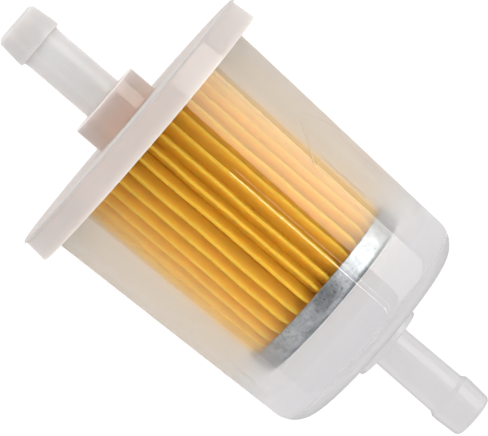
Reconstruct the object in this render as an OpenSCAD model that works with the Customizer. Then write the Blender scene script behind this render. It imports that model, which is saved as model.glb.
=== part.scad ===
// Inline fuel filter with hose nipples at both ends, in a welded plastic housing.
// The filter's axis is X. Fuel enters at the -X nipple, on the cup, and leaves at the
// +X nipple, on the lid. The origin is on the axis, half way along the filter.

/* [Housing] */
// Length over both nipple tips
overall_len = 83.2; // [82:0.1:86]
// Plastic wall of the cup
cup_wall = 1.7; // [1.4:0.1:2]
// Outer diameter of the cup just under the lid
cup_mouth_d = 37.9; // [37.6:0.1:38.3]
// Outer diameter of the cup's side where it would meet the closed end
cup_end_d = 34.3; // [33.8:0.1:34.8]
// Outer face of the cup's closed end, measured from the centre
cup_end_x = -24.2; // [-25:0.1:-24]
// Outer radius of the cup's shoulder
shoulder_r = 4; // [3.5:0.1:4.5]

/* [Lid] */
// Diameter of the lid's flange
flange_d = 43.8; // [43.6:0.1:46]
// Length of the lid's flange along the axis
flange_t = 3.8; // [3.8:0.1:4]
// Top face of the flange, measured from the centre
flange_x = 21.2; // [21:0.1:21.4]
// Diameter of the round boss under the outlet nipple
lid_boss_d = 11.3; // [10:0.1:14]
// Height of that boss
lid_boss_h = 4.4; // [3:0.1:6]

/* [Nipples] */
// Hose size: diameter of each nipple's shank
shank_d = 6.35; // [6:0.05:6.5]
// Diameter of the fuel passage
bore_d = 4; // [3:0.1:4.4]
// Largest diameter of the outlet nipple's barb
outlet_barb_d = 7.55; // [7.3:0.05:8]
// Largest diameter of the inlet nipple's bead
inlet_bead_d = 7.15; // [7:0.05:7.6]
// Length of the outlet nipple's barb
outlet_barb_len = 4.7; // [4:0.1:6]
// Length of the inlet nipple's bead
inlet_bead_len = 5.1; // [4.5:0.1:6]
// Diameter of the thick ring at the root of the inlet nipple
ring_d = 11.1; // [10:0.1:13]
// Height of that ring
ring_h = 1.8; // [1:0.1:3]

/* [Filter element] */
// Number of pleats in the paper
pleat_count = 39; // [36:1:40]
// Outer diameter over the pleats
paper_d = 26.6; // [26:0.1:26.6]
// Inner diameter of the pleats
paper_bore_d = 14.8; // [14.6:0.1:15.2]
// Thickness of the paper
paper_t = 0.35; // [0.3:0.01:0.36]
// Diameter of the steel end cap
cap_d = 27.4; // [27.4:0.1:28]
// Height of the steel end cap's rim
cap_h = 3.3; // [3:0.1:4]
// Outer face of the steel end cap, measured from the centre
cap_x = -15.9; // [-16.5:0.1:-15]
// Thickness of the end cap's steel
cap_t = 0.3; // [0.25:0.01:0.3]
// Outer diameter of the perforated core
core_d = 14.4; // [14:0.1:14.4]
// Wall of the perforated core
core_t = 0.5; // [0.4:0.05:0.6]

/* [Flow arrow] */
// Angle of the arrow round the axis, from the top towards -Y
arrow_angle = 58.5; // [0:0.5:90]
// Length of the arrow
arrow_len = 14.8; // [12:0.1:16]
// Length of the arrow's head
arrow_head_len = 6.6; // [5:0.1:8]
// Width of the arrow's head
arrow_head_w = 12.4; // [8:0.1:13]
// Width of the arrow's shaft
arrow_shaft_w = 7.4; // [4:0.1:8]
// Tip of the arrow, measured from the centre
arrow_tip_x = 5; // [3:0.1:8]
// How far the arrow stands out of the wall
arrow_h = 0.15; // [0.1:0.05:0.5]

/* [Hidden] */
$fn = 96;
arc_steps = 8;
// Pieces of one solid run this far into each other, and cutters run this far past the face.
eps = 0.01;
over = 1;

tip_x = overall_len / 2;
bore_r = bore_d / 2;
shank_r = shank_d / 2;
flange_r = flange_d / 2;
skirt_x = flange_x - flange_t;

// Cup: its outer side tapers evenly from the mouth to the closed end.
mouth_r = cup_mouth_d / 2;
side_slope = (mouth_r - cup_end_d / 2) / (skirt_x - cup_end_x);
function side_r(x) = mouth_r + (x - skirt_x) * side_slope;
end_wall_extra = 0.2;
end_wall = cup_wall + end_wall_extra;
cavity_end_x = cup_end_x + end_wall;
ring_x = cup_end_x - ring_h;
inner_corner_r = shoulder_r - cup_wall;

// Rim: the cup's flat rim sits inside the lid's skirt, with the weld on top of it.
lid_plate_t = 1.8;
lid_inner_x = flange_x - lid_plate_t;
skirt_wall = 1.6;
weld_t = 0.2;
weld_edge_out = 0.2;
weld_edge_in = 0.3;
rim_gap = 0.1;
rim_r = flange_r - skirt_wall - rim_gap;
rim_x = lid_inner_x - weld_t;
rim_t = 1.6;
rib_wall = 0.8;
plug_rib_r = mouth_r - cup_wall - rim_gap;
plug_rib_step = 0.2;
plug_rib_x = skirt_x + plug_rib_step;

// Element: paper and core are embedded in the potting at both ends.
paper_r = paper_d / 2;
paper_bore_r = paper_bore_d / 2;
cap_r = cap_d / 2;
cap_floor_x = cap_x + cap_t;
potting_h = 1.8;
embed_gap = 0.35;
paper_lo_x = cap_floor_x + embed_gap;
paper_hi_x = lid_inner_x - embed_gap;
trough_h = 1.4;
trough_fill_gap = 0.2;
trough_out_gap = 0.4;
trough_in_gap = 0.5;
trough_out_r = paper_r + trough_out_gap;
trough_in_r = core_d / 2 - core_t - trough_in_gap;

// Pleats: half widths of a fold, measured across the radius.
ridge_half = 0.55;
valley_half = 0.145;
pleat_step = 360 / pleat_count;
// A fold's ridge lies at this angle from the top, towards -Y.
pleat_phase = -3;

// Seam: the bead of glue fills a fold from its bottom, and widens with it.
seam_gap = 0.02;
seam_depth = 3;
seam_flare = 0.06;
seam_angle = pleat_phase + (floor(pleat_count / 2) + 0.5) * pleat_step;

// Core: rows of round holes.
hole_d = 2.4;
hole_rows = 8;
holes_round = 6;
hole_fn = 24;

// Steel cap: outer radius of the bend between its floor and its rim.
cap_bend_r = 0.8;

// Nipples: each barb or bead has a short straight land, and tapers from there to a round nose.
outlet_barb_x = tip_x - outlet_barb_len;
outlet_barb_back = 0.1;
outlet_barb_taper = 0.32;
outlet_nose_r = 0.8;
inlet_bead_x = -tip_x + inlet_bead_len;
inlet_bead_back = 0.7;
inlet_nose_r = 0.7;
inlet_nose_step = 0.2;
inlet_root_step = 0.12;
land_len = 0.8;
edge_r = 0.3;

// Turns a profile of [radius, x] points about the X axis.
module turned(points) {
    rotate([0, 90, 0]) rotate_extrude() polygon(points);
}

// A round bar along X from x0 to x1.
module bar(r, x0, x1) {
    translate([x0, 0, 0]) rotate([0, 90, 0]) cylinder(r = r, h = x1 - x0);
}

// A plain ring along X from x0 to x1.
module ring(r_out, r_in, x0, x1) {
    difference() {
        bar(r_out, x0, x1);
        bar(r_in, x0 - over, x1 + over);
    }
}

// Points of a quarter turn or less, about the centre [r, x], from angle a0 to a1.
function arc(c, rad, a0, a1) = [
    for (i = [0 : arc_steps])
        let (a = a0 + (a1 - a0) * i / arc_steps)
        [c[0] + rad * cos(a), c[1] + rad * sin(a)]
];

// The cup's filled outside: side, shoulder and end face.
module cup_outside() {
    corner = side_r(cup_end_x + shoulder_r) - shoulder_r;
    turned(concat(
        [[0, rim_x], [mouth_r, rim_x], [mouth_r, skirt_x]],
        arc([corner, cup_end_x + shoulder_r], shoulder_r, 0, -90),
        [[0, cup_end_x]]
    ));
}

// The space inside the cup.
module cup_cavity() {
    corner_x = cavity_end_x + inner_corner_r;
    corner = side_r(corner_x) - cup_wall - inner_corner_r;
    turned(concat(
        [[0, rim_x + over], [mouth_r - cup_wall, rim_x + over], [mouth_r - cup_wall, skirt_x]],
        arc([corner, corner_x], inner_corner_r, 0, -90),
        [[0, cavity_end_x]]
    ));
}

// Thick ring and hose nipple at the closed end.
module inlet_nipple() {
    ring_r = ring_d / 2;
    bead_r = inlet_bead_d / 2;
    land_x = inlet_bead_x - inlet_bead_back;
    nose_c = [shank_r + inlet_nose_step - inlet_nose_r, -tip_x + inlet_nose_r];
    turned(concat(
        [[0, cup_end_x + over], [ring_r, cup_end_x + over]],
        arc([ring_r - edge_r, ring_x + edge_r], edge_r, 0, -90),
        [[shank_r - inlet_root_step, ring_x], [shank_r, inlet_bead_x]],
        [[bead_r, land_x], [bead_r, land_x - land_len]],
        arc(nose_c, inlet_nose_r, 0, -90),
        [[0, -tip_x]]
    ));
}

// Raised block arrow on the cup's side, pointing along the flow.
module flow_arrow() {
    head_x = arrow_tip_x - arrow_head_len;
    tail_x = arrow_tip_x - arrow_len;
    reach = 4;
    lo = tail_x - over;
    hi = arrow_tip_x + over;
    intersection() {
        turned([[0, lo], [side_r(lo) + arrow_h, lo], [side_r(hi) + arrow_h, hi], [0, hi]]);
        rotate([arrow_angle, 0, 0])
            translate([0, 0, mouth_r - reach])
                linear_extrude(height = 2 * reach)
                    polygon([[tail_x, -arrow_shaft_w / 2], [head_x, -arrow_shaft_w / 2],
                             [head_x, -arrow_head_w / 2], [arrow_tip_x, 0],
                             [head_x, arrow_head_w / 2], [head_x, arrow_shaft_w / 2],
                             [tail_x, arrow_shaft_w / 2]]);
    }
}

module housing_cup() {
    color([0.88, 0.86, 0.82, 0.5])
        difference() {
            union() {
                cup_outside();
                bar(rim_r, rim_x - rim_t, rim_x);
                inlet_nipple();
                flow_arrow();
            }
            cup_cavity();
            bar(bore_r, -tip_x - over, cavity_end_x + over);
        }
}

// Flange and boss, with rounded outer edges.
module lid_outside() {
    boss_x = flange_x + lid_boss_h;
    boss_r = lid_boss_d / 2;
    boss_edge_r = edge_r / 2;
    turned(concat(
        [[0, skirt_x]],
        arc([flange_r - edge_r, skirt_x + edge_r], edge_r, -90, 0),
        arc([flange_r - edge_r, flange_x - edge_r], edge_r, 0, 90),
        [[boss_r, flange_x]],
        arc([boss_r - boss_edge_r, boss_x - boss_edge_r], boss_edge_r, 0, 90),
        [[0, boss_x]]
    ));
}

// Hose nipple on the lid, with a sharp-backed barb.
module outlet_nipple() {
    barb_r = outlet_barb_d / 2;
    land_x = outlet_barb_x + outlet_barb_back;
    nose_c = [barb_r - outlet_barb_taper - outlet_nose_r, tip_x - outlet_nose_r];
    turned(concat(
        [[0, lid_inner_x], [shank_r, lid_inner_x], [shank_r, outlet_barb_x]],
        [[barb_r, land_x], [barb_r, land_x + land_len]],
        arc(nose_c, outlet_nose_r, 0, 90),
        [[0, tip_x]]
    ));
}

module housing_lid() {
    color([0.93, 0.9, 0.89])
        difference() {
            union() {
                difference() {
                    lid_outside();
                    bar(flange_r - skirt_wall, skirt_x - over, lid_inner_x);
                }
                outlet_nipple();
                // Rib that centres the lid in the cup's mouth
                ring(plug_rib_r, plug_rib_r - rib_wall, plug_rib_x, lid_inner_x + eps);
                // Two ribs that hold the potting while it cures
                ring(trough_out_r + rib_wall, trough_out_r, lid_inner_x - trough_h, lid_inner_x + eps);
                ring(trough_in_r, trough_in_r - rib_wall, lid_inner_x - trough_h, lid_inner_x + eps);
            }
            bar(bore_r, lid_inner_x - over, tip_x + over);
        }
}

module weld_ring() {
    color([0.9, 0.88, 0.86])
        ring(rim_r - weld_edge_out, mouth_r - cup_wall + weld_edge_in, rim_x, lid_inner_x);
}

// One point of a fold: r out from the axis and s across, for a fold at angle a.
function fold_point(r, s, a) = [r * cos(a) - s * sin(a), r * sin(a) + s * cos(a)];

// Zigzag outline of the pleats, from ridge to valley, four points a pleat.
function pleat_outline(ridge_r, ridge_w, valley_r, valley_w) = [
    for (i = [0 : pleat_count - 1])
        let (a = i * pleat_step)
        for (p = [fold_point(ridge_r, -ridge_w, a), fold_point(ridge_r, ridge_w, a),
                  fold_point(valley_r, -valley_w, a + pleat_step / 2),
                  fold_point(valley_r, valley_w, a + pleat_step / 2)])
            p
];

// The folded paper between two planes.
module pleats(x0, x1) {
    rotate([pleat_phase, 0, 0])
        translate([x0, 0, 0])
            rotate([0, 90, 0])
                rotate([0, 0, 180])
                    linear_extrude(height = x1 - x0)
                        difference() {
                            polygon(pleat_outline(paper_r, ridge_half, paper_bore_r + paper_t, valley_half));
                            polygon(pleat_outline(paper_r - paper_t, ridge_half - paper_t,
                                                  paper_bore_r, valley_half + paper_t));
                        }
}

module pleated_paper() {
    color([0.87, 0.68, 0.3])
        pleats(paper_lo_x, paper_hi_x);
}

// Bead of glue in one fold, on the far side, that closes the paper into a loop.
module paper_seam() {
    inner_r = paper_bore_r + paper_t + seam_gap;
    outer_r = inner_r + seam_depth;
    half_in = valley_half - seam_gap;
    half_out = half_in + seam_depth * seam_flare;
    x0 = cap_floor_x + potting_h;
    color([0.8, 0.62, 0.3])
        rotate([seam_angle, 0, 0])
            translate([x0, 0, 0])
                rotate([0, 90, 0])
                    rotate([0, 0, 180])
                        linear_extrude(height = lid_inner_x - trough_h - x0)
                            polygon([[inner_r, -half_in], [outer_r, -half_out],
                                     [outer_r, half_out], [inner_r, half_in]]);
}

module closed_end_cap() {
    bend_c = [cap_r - cap_bend_r, cap_x + cap_bend_r];
    color([0.62, 0.63, 0.65])
        turned(concat(
            [[0, cap_x]],
            arc(bend_c, cap_bend_r, -90, 0),
            [[cap_r, cap_x + cap_h], [cap_r - cap_t, cap_x + cap_h]],
            arc(bend_c, cap_bend_r - cap_t, 0, -90),
            [[0, cap_floor_x]]
        ));
}

module closed_end_potting() {
    color([0.75, 0.6, 0.35])
        difference() {
            bar(cap_r - cap_bend_r, cap_floor_x, cap_floor_x + potting_h);
            pleats(paper_lo_x, paper_hi_x);
            core_blank();
        }
}

module open_end_potting() {
    color([0.75, 0.6, 0.35])
        difference() {
            ring(trough_out_r, trough_in_r, lid_inner_x - trough_h + trough_fill_gap, lid_inner_x);
            pleats(paper_lo_x, paper_hi_x);
            core_blank();
        }
}

// The core without its holes.
module core_blank() {
    ring(core_d / 2, core_d / 2 - core_t, paper_lo_x, paper_hi_x);
}

module core_tube() {
    span = lid_inner_x - trough_h - cap_floor_x - potting_h;
    pitch = span / (hole_rows + 1);
    color([0.7, 0.71, 0.72])
        difference() {
            core_blank();
            for (i = [1 : hole_rows])
                for (k = [0 : holes_round / 2 - 1])
                    translate([cap_floor_x + potting_h + i * pitch, 0, 0])
                        rotate([(k + (i % 2) / 2) * 360 / holes_round, 0, 0])
                            cylinder(d = hole_d, h = core_d + 2 * over, center = true, $fn = hole_fn);
        }
}

housing_cup();
housing_lid();
weld_ring();
pleated_paper();
paper_seam();
closed_end_cap();
closed_end_potting();
open_end_potting();
core_tube();
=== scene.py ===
"""Looks of the inline fuel filter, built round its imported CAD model. Metres; the filter's axis is X."""
import math
import random

import bmesh
import bpy
from mathutils import Matrix, Vector, noise


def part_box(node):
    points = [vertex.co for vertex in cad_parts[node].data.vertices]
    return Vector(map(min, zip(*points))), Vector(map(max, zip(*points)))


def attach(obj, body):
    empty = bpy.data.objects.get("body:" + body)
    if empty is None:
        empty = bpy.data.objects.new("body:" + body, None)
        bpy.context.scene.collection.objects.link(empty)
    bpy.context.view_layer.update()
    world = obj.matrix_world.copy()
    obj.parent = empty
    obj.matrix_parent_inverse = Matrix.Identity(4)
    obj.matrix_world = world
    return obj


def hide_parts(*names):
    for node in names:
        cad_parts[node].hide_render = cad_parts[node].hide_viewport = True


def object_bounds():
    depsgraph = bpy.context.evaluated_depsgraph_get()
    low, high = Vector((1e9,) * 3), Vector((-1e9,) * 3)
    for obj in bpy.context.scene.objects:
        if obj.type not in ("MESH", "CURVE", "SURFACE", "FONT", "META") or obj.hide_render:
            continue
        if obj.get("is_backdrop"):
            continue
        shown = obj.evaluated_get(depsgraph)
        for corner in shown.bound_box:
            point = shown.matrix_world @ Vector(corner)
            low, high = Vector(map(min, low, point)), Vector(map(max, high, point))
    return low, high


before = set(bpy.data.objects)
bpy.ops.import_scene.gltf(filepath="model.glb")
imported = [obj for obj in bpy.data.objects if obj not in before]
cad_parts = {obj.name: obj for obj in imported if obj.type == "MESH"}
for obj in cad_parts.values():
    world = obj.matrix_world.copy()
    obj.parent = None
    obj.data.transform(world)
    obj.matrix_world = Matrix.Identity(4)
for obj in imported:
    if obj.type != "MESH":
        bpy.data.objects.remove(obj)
CAD_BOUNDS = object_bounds()

MM = 0.001
RNG = random.Random(11)

# ---- Sizes, as the CAD has them -------------------------------------------------------------
INLET_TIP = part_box("housing_cup")[0].x
OUTLET_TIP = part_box("housing_lid")[1].x
SKIRT_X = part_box("housing_lid")[0].x
RIM_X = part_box("housing_cup")[1].x
RIM_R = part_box("housing_cup")[1].y
FLANGE_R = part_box("housing_lid")[1].y
CAP_X, CAP_LIP_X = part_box("closed_end_cap")[0].x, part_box("closed_end_cap")[1].x
CAP_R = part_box("closed_end_cap")[1].y
PAPER_X0, PAPER_X1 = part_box("pleated_paper")[0].x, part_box("pleated_paper")[1].x

FLANGE_X = SKIRT_X + 3.8 * MM
LID_INNER_X = FLANGE_X - 1.8 * MM
BORE_R = 2 * MM
SHANK_R = 3.175 * MM
CUP_WALL = 1.7 * MM
CUP_END_X = -24.2 * MM
CUP_MOUTH_R = 18.95 * MM
CUP_END_R = 17.15 * MM
SHOULDER_R = 4 * MM
RING_R = 5.55 * MM
RING_X = CUP_END_X - 1.8 * MM
BOSS_R = 5.65 * MM
BOSS_X = FLANGE_X + 4.4 * MM
ARROW_RISE = 0.15 * MM
ARROW_ANGLE = math.radians(58.5)

# Camera: long lens, nearly square on to the axis, the lid's end a little nearer.
AXIS_ROLL = math.radians(40.66)
AXIS_TILT = math.radians(3.9)
CAMERA_DISTANCE = 0.5484
LENS_MM = 295.0
CAMERA_TARGET = Vector((0.0004, -0.00022, 0))


def side_r(x):
    """Outer radius of the cup's tapered side at x."""
    slope = (CUP_MOUTH_R - CUP_END_R) / (SKIRT_X - CUP_END_X)
    return CUP_MOUTH_R + (x - SKIRT_X) * slope


def skin_depth(x, r):
    """How far a point lies under the cup's outer skin; below 0 outside it."""
    centre_x = CUP_END_X + SHOULDER_R
    centre_r = side_r(centre_x) - SHOULDER_R
    if x >= centre_x:
        return side_r(x) - r
    if r <= centre_r:
        return x - CUP_END_X
    return SHOULDER_R - math.hypot(x - centre_x, r - centre_r)


# ---- Small helpers: meshes ------------------------------------------------------------------
def arc(cx, cr, radius, start, end, steps=8):
    """Points of an arc in the (x, r) plane; angles in degrees, 0 along +x and 90 along +r."""
    turns = [math.radians(start + (end - start) * i / steps) for i in range(steps + 1)]
    return [(cx + radius * math.cos(t), cr + radius * math.sin(t)) for t in turns]


def stretch(a, b, steps):
    """Points from a to b in the (x, r) plane, without a itself."""
    return [(a[0] + (b[0] - a[0]) * i / steps, a[1] + (b[1] - a[1]) * i / steps) for i in range(1, steps + 1)]


def add_object(name, mesh, materials):
    piece = bpy.data.objects.new(name, mesh)
    bpy.context.scene.collection.objects.link(piece)
    for material in materials:
        mesh.materials.append(material)
    return piece


def lathe(name, loop, materials, segments=192, zone=None):
    """A closed (x, r) loop turned about X. zone(x, r) gives a face's material number."""
    mesh = bpy.data.meshes.new(name)
    verts, faces, zones = [], [], []
    count = len(loop)
    for k in range(segments):
        a = 2 * math.pi * k / segments
        verts += [(x, r * math.sin(a), r * math.cos(a)) for x, r in loop]
    for k in range(segments):
        here, there = k * count, ((k + 1) % segments) * count
        for i in range(count):
            j = (i + 1) % count
            faces.append((here + i, here + j, there + j, there + i))
            if zone:
                x, r = (loop[i][0] + loop[j][0]) / 2, (loop[i][1] + loop[j][1]) / 2
                zones.append(zone(x, r))
    mesh.from_pydata(verts, [], faces)
    piece = add_object(name, mesh, materials)
    if zone:
        mesh.polygons.foreach_set("material_index", zones)
    tidy_normals(piece)
    return piece


def tidy_normals(piece, sharp_degrees=32):
    """Outward faces, smooth shading, and hard edges where the surface turns sharply."""
    bm = bmesh.new()
    bm.from_mesh(piece.data)
    bmesh.ops.recalc_face_normals(bm, faces=bm.faces)
    bm.to_mesh(piece.data)
    bm.free()
    piece.data.shade_smooth()
    piece.data.set_sharp_from_angle(angle=math.radians(sharp_degrees))


def apply_modifiers(piece):
    graph = bpy.context.evaluated_depsgraph_get()
    mesh = bpy.data.meshes.new_from_object(piece.evaluated_get(graph))
    old = piece.data
    piece.modifiers.clear()
    piece.data = mesh
    bpy.data.meshes.remove(old)


# ---- Small helpers: materials ---------------------------------------------------------------
class Look:
    """A node material being built."""

    def __init__(self, name):
        self.material = bpy.data.materials.new(name)
        self.material.use_nodes = True
        self.tree = self.material.node_tree
        self.tree.nodes.clear()
        self.output = self.tree.nodes.new("ShaderNodeOutputMaterial")

    def node(self, kind, **values):
        made = self.tree.nodes.new("ShaderNode" + kind)
        for key, value in values.items():
            if hasattr(made, key):
                setattr(made, key, value)
            else:
                made.inputs[key.replace("_", " ")].default_value = value
        return made

    def link(self, source, target):
        self.tree.links.new(source, target)

    def place(self, scale=(1, 1, 1)):
        """Object coordinates, stretched by scale."""
        coordinates = self.node("TexCoord")
        mapping = self.node("Mapping")
        mapping.inputs["Scale"].default_value = scale
        self.link(coordinates.outputs["Object"], mapping.inputs["Vector"])
        return mapping.outputs["Vector"]

    def noise(self, where, scale, detail=4.0, rough=0.55, distortion=0.0):
        made = self.node("TexNoise", Scale=scale, Detail=detail, Roughness=rough, Distortion=distortion)
        self.link(where, made.inputs["Vector"])
        return made.outputs["Fac"]

    def ramp(self, value, stops):
        """Colour ramp; stops are (position, colour)."""
        made = self.node("ValToRGB")
        points = made.color_ramp.elements
        while len(points) < len(stops):
            points.new(0.5)
        for point, (position, colour) in zip(points, stops):
            point.position = position
            point.color = (*colour, 1)
        self.link(value, made.inputs["Fac"])
        return made.outputs["Color"]

    def span(self, value, low, high, out_low=0.0, out_high=1.0):
        """Map a value from one range to another, clamped."""
        made = self.node("MapRange")
        for key, number in (("From Min", low), ("From Max", high), ("To Min", out_low), ("To Max", out_high)):
            made.inputs[key].default_value = number
        self.link(value, made.inputs["Value"])
        return made.outputs["Result"]

    def mix(self, factor, a, b, blend="MIX"):
        """Mix two colours, each a socket or a plain colour; factor is a socket or a number."""
        made = self.node("Mix", data_type="RGBA", blend_type=blend)
        for socket, value in ((made.inputs[0], factor), (made.inputs[6], a), (made.inputs[7], b)):
            if isinstance(value, bpy.types.NodeSocket):
                self.link(value, socket)
            elif isinstance(value, tuple):
                socket.default_value = (*value, 1)
            else:
                socket.default_value = value
        return made.outputs[2]

    def math(self, operation, *values):
        made = self.node("Math", operation=operation)
        for value, socket in zip(values, made.inputs):
            if isinstance(value, bpy.types.NodeSocket):
                self.link(value, socket)
            else:
                socket.default_value = value
        return made.outputs[0]

    def along_x(self):
        split = self.node("SeparateXYZ")
        self.link(self.place(), split.inputs[0])
        return split.outputs["X"]

    def bump(self, height, strength, distance):
        made = self.node("Bump", Strength=strength, Distance=distance)
        self.link(height, made.inputs["Height"])
        return made.outputs["Normal"]

    def shade(self, a, b, factor):
        """Mix of two shaders."""
        made = self.node("MixShader")
        if isinstance(factor, bpy.types.NodeSocket):
            self.link(factor, made.inputs[0])
        else:
            made.inputs[0].default_value = factor
        self.link(a, made.inputs[1])
        self.link(b, made.inputs[2])
        return made.outputs[0]

    def finish(self, shader):
        self.link(shader, self.output.inputs["Surface"])
        return self.material


CLEAR_IOR = 1.5

# Places along X where the cup's look changes: it clears up from the nipple to the paper, and its tint and
# haze turn from grey to a painted warm glow beside the paper, in place of the paper's light.
CLEAR_FROM, MILKY_FROM = -0.0215, -0.0235
END_CLEAR, END_MILKY = -0.0155, -0.0185
NIPPLE_TONES = (-0.0225, -0.04)
TINT_GREY_TO_PAINTED_WARM = (-0.022, -0.006)
HAZE_GREY_TO_PAINTED_WARM = (-0.018, -0.008)
# Places along X that the lid's tones, which hold painted light and shade, run between, and where its gloss
# turns from smooth to soft.
LID_PAINTED_TONES = (0.0174, 0.042)
LID_GLOSS_CHANGE = (0.0255, 0.0265)
OUTER_ROUGHNESS = 0.006


def grey(value):
    return (value, value, value)


def see_through(look, tint, roughness, veil, veil_colour, mirror=(1, 1, 1), coat=None, coat_share=1.0):
    """Glass under a milky veil; each value is a socket or a constant. Soft light goes straight through it.

    With coat, the outside's reflection lies over the veil and grows from coat's first value, seen square on,
    to its second at the edges, where real glass would turn into a full mirror. coat_share scales it.
    """
    glass = look.node("BsdfPrincipled", IOR=CLEAR_IOR)
    glass.inputs["Specular Tint"].default_value = (*mirror, 1)
    glass.inputs["Transmission Weight"].default_value = 1.0
    lamp = look.node("BsdfTransparent")
    milk = look.node("BsdfDiffuse")
    back = look.node("BsdfTranslucent")
    wires = [(tint, glass.inputs["Base Color"]), (tint, lamp.inputs["Color"]),
             (roughness, glass.inputs["Roughness"]),
             (veil_colour, milk.inputs["Color"]), (veil_colour, back.inputs["Color"])]
    for value, socket in wires:
        if isinstance(value, bpy.types.NodeSocket):
            look.link(value, socket)
        elif isinstance(value, tuple):
            socket.default_value = (*value, 1)
        else:
            socket.default_value = value
    haze = look.shade(milk.outputs[0], back.outputs[0], 0.5)
    body = look.shade(glass.outputs[0], haze, veil)
    if coat:
        bend = look.node("BsdfRefraction", Roughness=roughness, IOR=CLEAR_IOR)
        look.link(tint, bend.inputs["Color"])
        gloss = look.node("BsdfGlossy", Roughness=roughness)
        facing = look.node("LayerWeight", Blend=0.5).outputs["Facing"]
        amount = look.math("MULTIPLY", look.span(facing, 0.25, 1.0, *coat), coat_share)
        front = look.shade(look.shade(bend.outputs[0], haze, veil), gloss.outputs[0], amount)
        body = look.shade(front, body, look.node("NewGeometry").outputs["Backfacing"])
    path = look.node("LightPath")
    passing = look.math("MAXIMUM", path.outputs["Is Shadow Ray"], path.outputs["Is Diffuse Ray"])
    return look.shade(body, lamp.outputs[0], passing)


def cup_tint_painted_warm(look):
    """Grey at the cup's end, warm beside the paper: the warmth is painted light, in place of the paper's
    light that fills the milky wall.
    """
    return look.ramp(look.span(look.along_x(), *TINT_GREY_TO_PAINTED_WARM),
                     [(0.0, (0.90, 0.89, 0.895)), (1.0, (0.895, 0.88, 0.86))])


def cup_outer_look():
    look = Look("cup_gloss")
    veil = look.ramp(look.span(look.along_x(), CLEAR_FROM, MILKY_FROM),
                     [(0.0, grey(0.0)), (0.2, grey(0.0)), (0.27, grey(0.4)), (1.0, grey(0.85))])
    colour = look.ramp(look.span(look.along_x(), *NIPPLE_TONES),
                       [(0.0, (0.695, 0.685, 0.685)), (0.2, (0.76, 0.745, 0.75)), (0.43, (0.71, 0.70, 0.705)),
                        (1.0, (0.65, 0.64, 0.645))])
    # Painted shade: the veil's colour darkens towards the edges, where the surface turns away from view.
    facing = look.node("LayerWeight", Blend=0.5).outputs["Facing"]
    veil_painted_edge_shade = look.mix(look.span(facing, 0.5, 1.0, 0.0, 0.35), colour, grey(0.1))
    weaker = look.span(look.along_x(), END_CLEAR, END_MILKY, 1.0, 0.55)
    return look.finish(see_through(look, cup_tint_painted_warm(look), OUTER_ROUGHNESS, veil, veil_painted_edge_shade,
                                   coat=(0.047, 0.13), coat_share=weaker))


def cup_inner_look():
    look = Look("cup_haze")
    facing = look.node("LayerWeight", Blend=0.5).outputs["Facing"]
    veil = look.ramp(facing, [(0.0, grey(0.0)), (0.056, grey(0.07)), (0.10, grey(0.2)), (0.16, grey(0.4)),
                              (0.25, grey(0.56)), (0.4, grey(0.64)), (1.0, grey(0.8))])
    end = look.ramp(look.span(look.along_x(), END_CLEAR, END_MILKY),
                    [(0.0, grey(0.0)), (0.08, grey(0.0)), (0.13, grey(0.5)), (1.0, grey(0.9))])
    most = look.math("MAXIMUM", veil, end)
    # Painted light: the haze turns warm beside the paper, in place of the paper's light in the milky wall.
    colour = look.ramp(look.span(look.along_x(), *HAZE_GREY_TO_PAINTED_WARM),
                       [(0.0, (0.88, 0.88, 0.89)), (1.0, (0.85, 0.808, 0.765))])
    shader = see_through(look, (1, 1, 1), look.span(facing, 0.01, 0.2, 0.06, 0.25), most, colour, (0, 0, 0))
    return look.finish(shader)


def lid_look():
    """Milky plastic. Its colour holds painted light and shade: the boss glows pink-orange in place of light
    come through the paper, and faces turned to one side or along +X are darkened.
    """
    look = Look("lid_milky")
    where = look.place()
    # Painted light and shade along X: a pink-orange glow on the boss in place of light come through the
    # paper, and lighter and darker steps along the rim, shank and tip in place of their light and shade.
    tone = look.ramp(look.span(look.along_x(), *LID_PAINTED_TONES),
                     [(0.0, (0.59, 0.54, 0.515)), (0.154, (0.59, 0.54, 0.515)), (0.160, (0.70, 0.505, 0.415)),
                      (0.25, (0.61, 0.495, 0.435)), (0.326, (0.555, 0.50, 0.485)),
                      (0.332, (0.80, 0.72, 0.68)), (0.44, (0.75, 0.70, 0.68)),
                      (0.56, (0.72, 0.69, 0.68)), (0.76, (0.71, 0.685, 0.68)),
                      (0.83, (0.585, 0.575, 0.57))])
    clouds = look.noise(where, 90.0, 3.0)
    facing = look.node("LayerWeight", Blend=0.5).outputs["Facing"]
    cloudy = look.mix(clouds, look.mix(0.03, tone, (0.3, 0.3, 0.32)), tone)
    milk = look.node("BsdfPrincipled", Roughness=0.6)
    # Painted shade: faces turned to either side, more on the +Y side, and faces turned along +X are darkened
    # in the base colour.
    normal = look.node("SeparateXYZ")
    look.link(look.node("NewGeometry").outputs["Normal"], normal.inputs[0])
    sideways = look.ramp(look.span(normal.outputs["Y"], -1.0, 1.0),
                         [(0.0, grey(0.13)), (0.25, grey(0.0)), (0.725, grey(0.0)), (1.0, grey(0.3))])
    shade = look.math("MAXIMUM", sideways, look.span(normal.outputs["X"], 0.5, 1.0, 0.0, 0.3))
    look.link(look.mix(shade, cloudy, grey(0.1)), milk.inputs["Base Color"])
    milk.inputs["Specular IOR Level"].default_value = 0.0
    milk.inputs["Subsurface Weight"].default_value = 1.0
    milk.inputs["Subsurface Radius"].default_value = (1.0, 0.8, 0.7)
    milk.inputs["Subsurface Scale"].default_value = 0.004
    gloss = look.node("BsdfGlossy")
    look.link(look.span(look.along_x(), *LID_GLOSS_CHANGE, 0.07, 0.3), gloss.inputs["Roughness"])
    look.link(look.bump(look.noise(where, 260.0, 2.0), 0.02, 0.0003), gloss.inputs["Normal"])
    shine = look.span(facing, 0.2, 1.0, 0.036, 0.06)
    return look.finish(look.shade(milk.outputs[0], gloss.outputs[0], shine))


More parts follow.
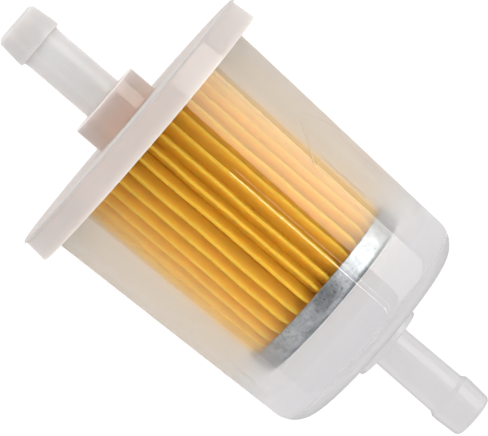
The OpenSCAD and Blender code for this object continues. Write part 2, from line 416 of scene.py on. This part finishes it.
def paper_look():
    look = Look("filter_paper")
    fibres = look.noise(look.place((1, 2.2, 2.2)), 900.0, 6.0, 0.65)
    blotch = look.noise(look.place(), 160.0, 3.0)
    base = look.mix(blotch, (0.91, 0.655, 0.07), (0.93, 0.70, 0.09))
    speckled = look.mix(look.span(fibres, 0.3, 0.75), look.mix(0.95, (0.7, 0.4, 0.02), base), base)
    paper = look.node("BsdfPrincipled", Roughness=0.75, subsurface_method="BURLEY")
    paper.inputs["Subsurface Weight"].default_value = 0.6
    paper.inputs["Subsurface Radius"].default_value = (1.0, 0.6, 0.12)
    paper.inputs["Subsurface Scale"].default_value = 0.0016
    look.link(speckled, paper.inputs["Base Color"])
    paper.inputs["Specular IOR Level"].default_value = 0.1
    look.link(look.bump(fibres, 0.35, 0.0002), paper.inputs["Normal"])
    through = look.node("BsdfTranslucent")
    look.link(look.mix(0.6, speckled, (1.0, 0.55, 0.03)), through.inputs["Color"])
    return look.finish(look.shade(paper.outputs[0], through.outputs[0], 0.16))


def galvanised_look():
    look = Look("galvanised_steel")
    where = look.place()
    spangle = look.node("TexVoronoi", Scale=1300.0)
    look.link(where, spangle.inputs["Vector"])
    grain = look.noise(where, 2200.0, 5.0, 0.7)
    clouds = look.noise(where, 240.0, 4.0, 0.6, 0.4)
    tone = look.mix(0.5, look.ramp(clouds, [(0.3, (0.19, 0.22, 0.25)), (0.7, (0.47, 0.51, 0.55))]),
                    look.ramp(grain, [(0.3, (0.22, 0.24, 0.26)), (0.72, (0.60, 0.61, 0.62))]))
    flakes = look.node("RGBToBW")
    look.link(spangle.outputs["Color"], flakes.inputs[0])
    crystals = look.mix(0.35, tone, flakes.outputs[0], "SOFT_LIGHT")
    metal = look.node("BsdfPrincipled", Metallic=1.0)
    metal.inputs["Specular Tint"].default_value = (0.33, 0.345, 0.365, 1)
    look.link(crystals, metal.inputs["Base Color"])
    look.link(look.span(grain, 0.3, 0.75, 0.24, 0.45), metal.inputs["Roughness"])
    look.link(look.bump(grain, 0.15, 0.0001), metal.inputs["Normal"])
    return look.finish(metal.outputs[0])


def core_look():
    look = Look("core_steel")
    streaks = look.noise(look.place((0.2, 1, 1)), 900.0, 4.0)
    metal = look.node("BsdfPrincipled", Metallic=1.0)
    tone = look.ramp(streaks, [(0.3, grey(0.5)), (0.7, (0.68, 0.68, 0.67))])
    look.link(tone, metal.inputs["Base Color"])
    look.link(look.span(streaks, 0.3, 0.7, 0.25, 0.45), metal.inputs["Roughness"])
    return look.finish(metal.outputs[0])


def adhesive_look():
    look = Look("amber_adhesive")
    lumps = look.noise(look.place(), 300.0, 3.0)
    resin = look.node("BsdfPrincipled", Roughness=0.35)
    look.link(look.mix(lumps, (0.55, 0.36, 0.12), (0.7, 0.5, 0.2)), resin.inputs["Base Color"])
    look.link(look.bump(lumps, 0.3, 0.0003), resin.inputs["Normal"])
    return look.finish(resin.outputs[0])


# ---- Cup ------------------------------------------------------------------------------------
def cup_loop():
    """Outline of the cup's wall, round through the inlet passage."""
    end_wall = CUP_WALL + 0.2 * MM
    inner_end = CUP_END_X + end_wall
    bead_r, bead_x = 3.575 * MM, INLET_TIP + 5.1 * MM
    nose = 0.7 * MM
    lip = 0.2 * MM
    fillet = 0.25 * MM
    corner = side_r(CUP_END_X + SHOULDER_R) - SHOULDER_R
    inner_corner = SHOULDER_R - CUP_WALL
    inner_corner_x = inner_end + inner_corner
    inner_corner_r = side_r(inner_corner_x) - CUP_WALL - inner_corner
    root_r = SHANK_R - 0.12 * MM
    points = arc(INLET_TIP + lip, BORE_R + lip, lip, 270, 180, 4)
    points += arc(INLET_TIP + nose, SHANK_R + 0.2 * MM - nose, nose, 180, 96)
    points += stretch(points[-1], (bead_x - 1.5 * MM, bead_r), 4)
    points += [(bead_x - 0.7 * MM, bead_r)]
    points += arc(bead_x - 0.7 * MM, bead_r - 0.3 * MM, 0.3 * MM, 84, 40, 4)
    points += stretch(points[-1], (bead_x, SHANK_R), 3)
    points += stretch(points[-1], (RING_X - fillet, root_r), 10)
    points += arc(RING_X - fillet, root_r + fillet, fillet, 290, 360, 4)
    points += arc(RING_X + fillet, RING_R - fillet, fillet, 180, 90, 5)
    points += arc(CUP_END_X - fillet, RING_R + fillet, fillet, 285, 360, 4)
    points += stretch(points[-1], (CUP_END_X, corner), 6)
    points += arc(CUP_END_X + SHOULDER_R, corner, SHOULDER_R, 174, 90, 16)
    points += stretch(points[-1], (SKIRT_X + 0.2 * MM, CUP_MOUTH_R), 48)
    points += [(RIM_X - 1.6 * MM, RIM_R), (RIM_X, RIM_R), (RIM_X, CUP_MOUTH_R - CUP_WALL)]
    inner_mouth = (SKIRT_X, CUP_MOUTH_R - CUP_WALL)
    points += [inner_mouth]
    points += stretch(inner_mouth, (inner_corner_x, inner_corner_r + inner_corner), 40)
    points += arc(inner_corner_x, inner_corner_r, inner_corner, 95, 180, 10)
    points += stretch(points[-1], (inner_end, BORE_R), 6)
    points += stretch(points[-1], (INLET_TIP + lip, BORE_R), 14)[:-1]
    return points


def arrow_block(name, half_width, x0, x1, rise, materials):
    """Solid that stands rise out of the cup's side, between x0 and x1, half_width(x) wide on each side."""
    sunk = 0.7 * MM
    draft = 0.35
    rows, columns = 14, 14
    bm = bmesh.new()

    def grid(level):
        made = []
        for i in range(rows + 1):
            slack = -draft * level
            x = x0 - slack + (x1 - x0 + 2 * slack) * i / rows
            inside = min(max(x, x0), x1)
            wide = max(half_width(inside) + slack, 0.02 * MM)
            radius = side_r(x) + level
            row = []
            for j in range(columns + 1):
                s = wide * (2 * j / columns - 1)
                a = ARROW_ANGLE + s / side_r(x)
                row.append(bm.verts.new((x, -radius * math.sin(a), radius * math.cos(a))))
            made.append(row)
        return made

    top, bottom = grid(rise), grid(-sunk)
    for g, flip in ((top, False), (bottom, True)):
        for i in range(rows):
            for j in range(columns):
                quad = [g[i][j], g[i][j + 1], g[i + 1][j + 1], g[i + 1][j]]
                bm.faces.new(quad[::-1] if flip else quad)
    rim_top = [top[0][j] for j in range(columns)] + [top[i][columns] for i in range(rows)]
    rim_top += [top[rows][j] for j in range(columns, 0, -1)] + [top[i][0] for i in range(rows, 0, -1)]
    rim_low = [bottom[0][j] for j in range(columns)] + [bottom[i][columns] for i in range(rows)]
    rim_low += [bottom[rows][j] for j in range(columns, 0, -1)] + [bottom[i][0] for i in range(rows, 0, -1)]
    for k in range(len(rim_top)):
        n = (k + 1) % len(rim_top)
        bm.faces.new((rim_top[k], rim_top[n], rim_low[n], rim_low[k]))
    bmesh.ops.recalc_face_normals(bm, faces=bm.faces)
    mesh = bpy.data.meshes.new(name)
    bm.to_mesh(mesh)
    bm.free()
    return add_object(name, mesh, materials)


def make_cup():
    materials = [cup_outer_look(), cup_inner_look()]

    def zone(x, r):
        return 1 if skin_depth(x, r) > 0.6 * CUP_WALL or r < BORE_R + 0.1 * MM else 0

    cup = lathe("cup_shell", cup_loop(), materials, 256, zone)
    tip_x, head, length = 5 * MM, 6.6 * MM, 14.8 * MM
    head_half, shaft_half = 6.2 * MM, 3.7 * MM
    blocks = [
        arrow_block("arrow_head", lambda x: head_half * (tip_x - x) / head, tip_x - head, tip_x - 0.7 * MM,
                    ARROW_RISE, materials),
        arrow_block("arrow_shaft", lambda x: shaft_half, tip_x - length, tip_x - head + 0.3 * MM,
                    ARROW_RISE, materials),
    ]
    for block in blocks:
        joined = cup.modifiers.new("arrow", "BOOLEAN")
        joined.operation = "UNION"
        joined.solver = "EXACT"
        joined.object = block
    apply_modifiers(cup)
    for block in blocks:
        bpy.data.objects.remove(block)
    tidy_normals(cup, 25)
    return cup


# ---- Lid ------------------------------------------------------------------------------------
def lid_loop():
    barb_r, barb_x = 3.775 * MM, OUTLET_TIP - 4.7 * MM
    nose, lip, fillet, edge, low = 0.8 * MM, 0.2 * MM, 0.3 * MM, 0.3 * MM, 0.05 * MM
    nose_r = barb_r - 0.32 * MM - nose
    skirt_r = FLANGE_R - 1.6 * MM
    trough_x = LID_INNER_X - 1.4 * MM
    points = arc(OUTLET_TIP - lip, BORE_R + lip, lip, 270, 360, 4)
    points += arc(OUTLET_TIP - nose, nose_r, nose, 0, 86)
    points += stretch(points[-1], (barb_x + 0.9 * MM, barb_r), 4)
    points += arc(barb_x + 0.22 * MM, barb_r - 0.12 * MM, 0.12 * MM, 90, 170, 5)
    points += [(barb_x, SHANK_R + 0.08 * MM)]
    points += stretch((barb_x - 0.1 * MM, SHANK_R), (BOSS_X + fillet, SHANK_R), 12)
    points += arc(BOSS_X + fillet, SHANK_R + fillet, fillet, 260, 180, 4)
    points += arc(BOSS_X - fillet / 2, BOSS_R - fillet / 2, fillet / 2, 0, 90, 5)
    points += stretch(points[-1], (FLANGE_X + 1.2 * fillet, BOSS_R), 10)
    points += arc(FLANGE_X + fillet, BOSS_R + fillet, fillet, 255, 180, 4)
    points += stretch(points[-1], (FLANGE_X, FLANGE_R - edge), 10)
    points += arc(FLANGE_X - edge, FLANGE_R - edge, edge, 85, 0, 6)
    points += stretch(points[-1], (SKIRT_X + 1.5 * low, FLANGE_R), 10)
    points += arc(SKIRT_X + low, FLANGE_R - low, low, 80, 180, 4)
    points += [(SKIRT_X, skirt_r + 0.1 * MM), (SKIRT_X + 0.1 * MM, skirt_r), (LID_INNER_X, skirt_r)]
    rib, wall = CUP_MOUTH_R - CUP_WALL - 0.1 * MM, 0.8 * MM
    trough_out, trough_in = 13.7 * MM, 6.2 * MM
    for outer, depth_x in ((rib, SKIRT_X + 0.2 * MM), (trough_out + wall, trough_x), (trough_in, trough_x)):
        points += [(LID_INNER_X, outer), (depth_x, outer)]
        points += [(depth_x, outer - wall), (LID_INNER_X, outer - wall)]
    points += [(LID_INNER_X, BORE_R + lip)]
    points += stretch((LID_INNER_X + lip, BORE_R), (OUTLET_TIP - lip, BORE_R), 16)[:-1]
    return points


def make_lid():
    return lathe("lid_moulding", lid_loop(), [lid_look()], 256)


# ---- Paper ----------------------------------------------------------------------------------
PLEATS = 39
PLEAT_PHASE = math.radians(-3)
PAPER_R = 13.3 * MM
PAPER_BORE_R = 7.4 * MM
PAPER_T = 0.35 * MM
# How each fold strays from its even place: at its ridge to one side, and down.
LEAN, DROP = 0.16 * MM, 0.22 * MM
WANDER, WANDER_RUN = 0.17 * MM, 7 * MM
WRINKLE, WRINKLE_RUN = 0.035 * MM, 1.8 * MM
DROP_RUN = 9 * MM
# Where the folds enter the steel cap they are squeezed together and down, over this length.
PINCH_RUN, PINCH_DROP, PINCH_SQUEEZE = 1.7 * MM, 0.4 * MM, 0.3
PANEL_SHARES = (0.12, 0.23, 0.32, 0.39, 0.44, 0.72)
SEAM_FOLD = PLEATS // 2
# The bead of glue: where it starts, how deep it is, its half width there with a little air, and its flare.
SEAM_R = 7.77 * MM
SEAM_DEPTH = 3 * MM
SEAM_HALF = (0.125 + 0.04) * MM
SEAM_FLARE = 0.06


def seam_room(fold, r):
    """Half the width that the bead of glue takes up in its fold; nothing in the other folds."""
    if fold != SEAM_FOLD:
        return 0.0
    return SEAM_HALF + SEAM_FLARE * min(max(r - SEAM_R, 0.0), SEAM_DEPTH)


def panel_side(ridge, half, share, room):
    """How far a panel stands from its fold's middle: panels bulge until they all but meet."""
    closed = half - PAPER_T / 2 - 0.03 * MM - room
    return ridge + (closed - ridge) * min(1.0, share / 0.44) ** 2.6


def pleat_section(ridge_sizes):
    """Middle line of the folded sheet across the axis: (angle, radius, sideways, share) for each point."""
    points = []
    step = 2 * math.pi / PLEATS
    outer, inner = PAPER_R - PAPER_T / 2, PAPER_BORE_R + PAPER_T / 2
    for i in range(PLEATS):
        a = i * step
        ridge = ridge_sizes[i]
        valley = (0.40 if i == SEAM_FOLD else 0.27) * MM
        bottom = inner - (0.05 * MM if i == SEAM_FOLD else 0.0)
        for k in range(-3, 4):
            t = math.radians(30 * k)
            points.append((a, outer - ridge + ridge * math.cos(t), ridge * math.sin(t), i))
        for share in PANEL_SHARES:
            r = (outer - ridge) * (1 - share) + (bottom + valley) * share
            points.append((a, r, panel_side(ridge, step / 2 * r, share, seam_room(i, r)), i))
        for k in range(-2, 3):
            t = math.radians(45 * k)
            r = bottom + valley - valley * math.cos(t)
            points.append((a + step / 2, r, valley * math.sin(t), i + 0.5))
        following = ridge_sizes[(i + 1) % PLEATS]
        for share in reversed(PANEL_SHARES):
            r = (outer - following) * (1 - share) + (bottom + valley) * share
            points.append((a + step, r, -panel_side(following, step / 2 * r, share, seam_room(i, r)), i + 1))
    return points


def make_paper():
    """The pleats as one closed sheet of even thickness, each fold wandering a little as it goes."""
    stations = 52
    sizes = [RNG.uniform(0.03, 0.09) * MM for _ in range(PLEATS)]
    leans = [RNG.uniform(-LEAN, LEAN) for _ in range(PLEATS)]
    drops = [RNG.uniform(0.0, DROP) for _ in range(PLEATS)]
    section = pleat_section(sizes)
    count = len(section)
    verts, faces = [], []
    for n in range(stations + 1):
        u = n / stations
        x = PAPER_X0 + (PAPER_X1 - PAPER_X0) * u
        ends = math.sin(math.pi * u) ** 0.5 if 0 < u < 1 else 0.0
        pinch = min(1.0, max(0.0, (CAP_LIP_X + PINCH_RUN - x) / PINCH_RUN)) ** 2
        middle = []
        for a, r, s, fold in section:
            i = int(fold) % PLEATS
            share = (r - PAPER_BORE_R) / (PAPER_R - PAPER_BORE_R)
            weight = max(0.0, share) * ends
            wander = noise.noise(Vector((x / WANDER_RUN, 3.7 * i, 0.5))) * WANDER
            wrinkle = noise.noise(Vector((x / WRINKLE_RUN, 5.3 * i, 8.5))) * WRINKLE
            glued = i in (SEAM_FOLD, SEAM_FOLD + 1)
            shift = 0.0 if glued else (leans[i] + wander + wrinkle) * weight
            dip = drops[i] * weight * (0.6 + 0.4 * noise.noise(Vector((x / DROP_RUN, 2.1 * i, 4.0))))
            dip += PINCH_DROP * pinch * share
            angle = a + PLEAT_PHASE
            radial, side = r - dip, s * (1 - PINCH_SQUEEZE * pinch * share) + shift
            middle.append(Vector((radial * math.cos(angle) - side * math.sin(angle),
                                  radial * math.sin(angle) + side * math.cos(angle))))
        for j in range(count):
            along = middle[(j + 1) % count] - middle[j - 1]
            across = Vector((along.y, -along.x)).normalized() * PAPER_T / 2
            for point in (middle[j] + across, middle[j] - across):
                verts.append((x, -point.y, point.x))
    ring = 2 * count
    for n in range(stations):
        for j in range(count):
            k = (j + 1) % count
            a, b = n * ring, (n + 1) * ring
            faces.append((a + 2 * j, a + 2 * k, b + 2 * k, b + 2 * j))
            faces.append((a + 2 * k + 1, a + 2 * j + 1, b + 2 * j + 1, b + 2 * k + 1))
    for base, flip in ((0, False), (stations * ring, True)):
        for j in range(count):
            k = (j + 1) % count
            quad = (base + 2 * j, base + 2 * j + 1, base + 2 * k + 1, base + 2 * k)
            faces.append(quad[::-1] if flip else quad)
    mesh = bpy.data.meshes.new("paper_pleats")
    mesh.from_pydata(verts, [], faces)
    paper = add_object("paper_pleats", mesh, [paper_look()])
    tidy_normals(paper, 60)
    return paper


# ---- Steel cap ------------------------------------------------------------------------------
def make_cap():
    """Pressed steel cap: rounded bend at its floor, straight rim, and a rolled lip."""
    sheet, bend = 0.3 * MM, 0.8 * MM
    floor = CAP_X + sheet
    roll = sheet / 2
    loop = [(CAP_X, 0.5 * MM)] + stretch((CAP_X, 0.5 * MM), (CAP_X, CAP_R - bend), 8)
    loop += arc(CAP_X + bend, CAP_R - bend, bend, 172, 90, 8)
    loop += stretch(loop[-1], (CAP_LIP_X - roll, CAP_R), 6)
    loop += arc(CAP_LIP_X - roll, CAP_R - roll, roll, 70, -90, 6)
    loop += stretch(loop[-1], (CAP_X + bend, CAP_R - sheet), 6)
    loop += arc(CAP_X + bend, CAP_R - bend, bend - sheet, 98, 180, 6)
    loop += stretch(loop[-1], (floor, 0.5 * MM), 6)
    return lathe("steel_end_cap", loop, [galvanised_look()], 192)


# ---- Stage ----------------------------------------------------------------------------------
def make_floor():
    mesh = bpy.data.meshes.new("studio_floor")
    half, z = 3.0, -FLANGE_R - 0.05 * MM
    corners = [(-half, -half, z), (half, -half, z), (half, half, z), (-half, half, z)]
    mesh.from_pydata(corners, [], [(0, 1, 2, 3)])
    look = Look("pale_floor")
    grain = look.noise(look.place(), 3.0, 2.0)
    matt = look.node("BsdfDiffuse")
    look.link(look.mix(grain, (0.1, 0.1, 0.1), (0.11, 0.11, 0.11)), matt.inputs["Color"])
    light = look.node("Emission", Strength=0.92)
    floor = add_object("studio_floor", mesh, [])
    both = look.node("AddShader")
    look.link(matt.outputs[0], both.inputs[0])
    look.link(light.outputs[0], both.inputs[1])
    mesh.materials.append(look.finish(both.outputs[0]))
    floor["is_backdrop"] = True


def make_flag():
    """Black card above the camera: it keeps the middle of shiny surfaces dark, as in a studio."""
    mesh = bpy.data.meshes.new("black_flag")
    x0, x1, half, z = -0.16, 0.03, 0.25, 0.62
    mesh.from_pydata([(x0, -half, z), (x1, -half, z), (x1, half, z), (x0, half, z)], [], [(3, 2, 1, 0)])
    look = Look("flag_black")
    felt = look.node("BsdfDiffuse")
    nap = look.ramp(look.noise(look.place(), 400.0, 2.0), [(0.0, grey(0.01)), (1.0, grey(0.02))])
    look.link(nap, felt.inputs["Color"])
    mesh.materials.append(look.finish(felt.outputs[0]))
    add_object("black_flag", mesh, [])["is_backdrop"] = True


def make_lamp(name, centre, aim, size_x, size_y, radiance):
    """Rectangular lamp that faces aim, its long side along X."""
    lamp = bpy.data.lights.new(name, "AREA")
    lamp.shape = "RECTANGLE"
    lamp.size, lamp.size_y = size_x, size_y
    lamp.energy = radiance * math.pi * size_x * size_y
    thing = bpy.data.objects.new(name, lamp)
    bpy.context.scene.collection.objects.link(thing)
    back = (Vector(centre) - Vector(aim)).normalized()
    right = Vector((1, 0, 0))
    up = back.cross(right).normalized()
    right = up.cross(back)
    thing.matrix_world = Matrix.Translation(Vector(centre)) @ Matrix((right, up, back)).transposed().to_4x4()
    return thing


def round_from_top(angle, distance, x=0.0):
    """A place at an angle from the top towards -Y."""
    a = math.radians(angle)
    return (x, -distance * math.sin(a), distance * math.cos(a))


LAMP_DISTANCE = 0.5
SOFTBOX_X = -0.22
STRIP_X, STRIP_LENGTH = -0.2385, 0.353
# Name, angle from the top, width and radiance of each thin lamp.
STRIPS = (("strip_bright", 22.3, 0.006, 14.0), ("strip_faint", 27, 0.005, 6.0))


def make_lights():
    softbox = round_from_top(62, LAMP_DISTANCE, SOFTBOX_X)
    shine = make_lamp("softbox_shine", softbox, (SOFTBOX_X, 0, 0), 0.6, 0.40, 4.2)
    shine.data.color = (1.0, 0.995, 0.935)
    shine.visible_diffuse = False
    for name, angle, width, radiance in STRIPS:
        place = round_from_top(angle, LAMP_DISTANCE, STRIP_X)
        make_lamp(name, place, (STRIP_X, 0, 0), STRIP_LENGTH, width, radiance)
    world = bpy.data.worlds.new("studio")
    bpy.context.scene.world = world
    world.use_nodes = True
    background = world.node_tree.nodes["Background"]
    background.inputs["Color"].default_value = (1, 1, 1, 1)
    background.inputs["Strength"].default_value = 1.26
    world.cycles_visibility.glossy = False


def make_camera():
    camera = bpy.data.cameras.new("camera")
    camera.lens = LENS_MM
    camera.clip_start, camera.clip_end = 0.01, 20
    thing = bpy.data.objects.new("camera", camera)
    bpy.context.scene.collection.objects.link(thing)
    back = Vector((math.sin(AXIS_TILT), 0, math.cos(AXIS_TILT)))
    axis = Vector((math.cos(AXIS_TILT), 0, -math.sin(AXIS_TILT)))
    across = Vector((0, -1, 0))
    right = across * math.sin(AXIS_ROLL) - axis * math.cos(AXIS_ROLL)
    up = across * math.cos(AXIS_ROLL) + axis * math.sin(AXIS_ROLL)
    place = Matrix.Translation(CAMERA_TARGET + back * CAMERA_DISTANCE)
    thing.matrix_world = place @ Matrix((right, up, back)).transposed().to_4x4()
    bpy.context.scene.camera = thing


# ---- Build ----------------------------------------------------------------------------------
def settle(piece, slot_name, *nodes):
    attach(piece, "root")
    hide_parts(*nodes)


def dress(node, material):
    """Gives a CAD node its material."""
    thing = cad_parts[node]
    for place in thing.material_slots:
        place.material = material


make_camera()
make_lights()
make_floor()
make_flag()
settle(make_cup(), "cup_plastic", "housing_cup")
settle(make_lid(), "lid_plastic", "housing_lid")
settle(make_paper(), "filter_paper", "pleated_paper")
settle(make_cap(), "galvanised_steel", "closed_end_cap")
dress("weld_ring", bpy.data.materials["lid_milky"])
dress("core_tube", core_look())
amber = adhesive_look()
for name in ("paper_seam", "closed_end_potting", "open_end_potting"):
    dress(name, amber)

bpy.context.scene.view_settings.view_transform = "Standard"
bpy.context.scene.cycles.use_denoising = True
bpy.context.scene.cycles.diffuse_bounces = 14
bpy.context.scene.cycles.max_bounces = 28

boxes = [[list(corner) for corner in box] for box in (CAD_BOUNDS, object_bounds())]
